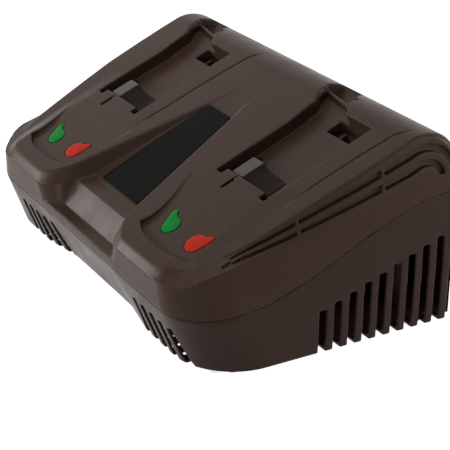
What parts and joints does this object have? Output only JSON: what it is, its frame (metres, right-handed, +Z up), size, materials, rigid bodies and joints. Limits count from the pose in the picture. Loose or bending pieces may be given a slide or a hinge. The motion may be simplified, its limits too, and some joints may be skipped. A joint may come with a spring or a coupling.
{
  "type": "battery charger",
  "caption": "Desktop charger with a sloping top that carries side-by-side slide-in bays for power tool batteries, spring-loaded terminal shutters and vented sides.",
  "frame": {"origin": "on the table under the middle of the case: the middle of the bounding box's bottom face", "axes": "+X to the charger's right as seen from the front lip, +Y towards the back wall, +Z up"},
  "size_m": [0.264, 0.165, 0.111],
  "materials": {
    "case_plastic": "fine moulded texture, dark brown",
    "base_plastic": "fine moulded texture, dark brown",
    "label_film": "glossy black polyester plate",
    "green_lens": "moulded translucent plastic",
    "red_lens": "moulded translucent plastic",
    "terminal_plastic": "glass-filled nylon",
    "shutter_plastic": "smooth moulded plastic",
    "contact_metal": "plated brass",
    "spring_steel": "drawn steel wire",
    "screw_steel": "zinc plated",
    "board_laminate": "green solder mask",
    "led_package": "clear epoxy",
    "lead_insulation": "red PVC",
    "inlet_lead_insulation": "blue PVC",
    "ferrite": "sintered ferrite",
    "winding_tape": "yellow polyester tape",
    "choke_wire": "enamelled copper on a ring core",
    "capacitor_sleeve": "shrunk PVC sleeve",
    "sink_aluminium": "extruded",
    "chip_epoxy": "moulded epoxy",
    "fuse_glass": "clear glass tube with end caps",
    "clip_metal": "tinned spring brass",
    "socket_nylon": "natural nylon",
    "inlet_plastic": "black moulded nylon",
    "pin_metal": "nickel-plated brass",
    "foot_rubber": "black rubber"
  },
  "bodies": {
    "case": {"upper_shell": "case_plastic", "lower_shell": "base_plastic", "label_plate": "label_film", "left_green_lens": "green_lens", "left_red_lens": "red_lens", "right_green_lens": "green_lens", "right_red_lens": "red_lens", "left_terminal_block": "terminal_plastic", "right_terminal_block": "terminal_plastic", "left_contact_blades": "contact_metal", "right_contact_blades": "contact_metal", "left_shutter_spring": "spring_steel", "right_shutter_spring": "spring_steel", "left_led_board": "board_laminate", "right_led_board": "board_laminate", "left_leds": "led_package", "right_leds": "led_package", "left_output_leads": "lead_insulation", "right_output_leads": "lead_insulation", "main_board": "board_laminate", "transformer_core": "ferrite", "transformer_winding": "winding_tape", "filter_choke": "choke_wire", "bulk_capacitor": "capacitor_sleeve", "output_capacitors": "capacitor_sleeve", "heat_sink": "sink_aluminium", "power_transistors": "chip_epoxy", "fuse": "fuse_glass", "fuse_clips": "clip_metal", "control_chips": "chip_epoxy", "lead_sockets": "socket_nylon", "mains_inlet": "inlet_plastic", "inlet_pins": "pin_metal", "inlet_leads": "inlet_lead_insulation", "rubber_feet": "foot_rubber", "board_screws": "screw_steel", "block_screws": "screw_steel", "case_screws": "screw_steel"},
    "left_shutter_body": {"left_shutter": "shutter_plastic"},
    "right_shutter_body": {"right_shutter": "shutter_plastic"}
  },
  "joints": [
    {"name": "left_shutter_slide", "type": "slide", "parent": "case", "child": "left_shutter_body", "axis": [0, -0.9212, -0.3891], "range_m": [0, 0.008], "stiffness_N_per_m": 150, "springref_m": -0.004, "deforming": ["left_shutter_spring"]},
    {"name": "right_shutter_slide", "type": "slide", "parent": "case", "child": "right_shutter_body", "axis": [0, -0.9212, -0.3891], "range_m": [0, 0.008], "stiffness_N_per_m": 150, "springref_m": -0.004, "deforming": ["right_shutter_spring"]}
  ]
}
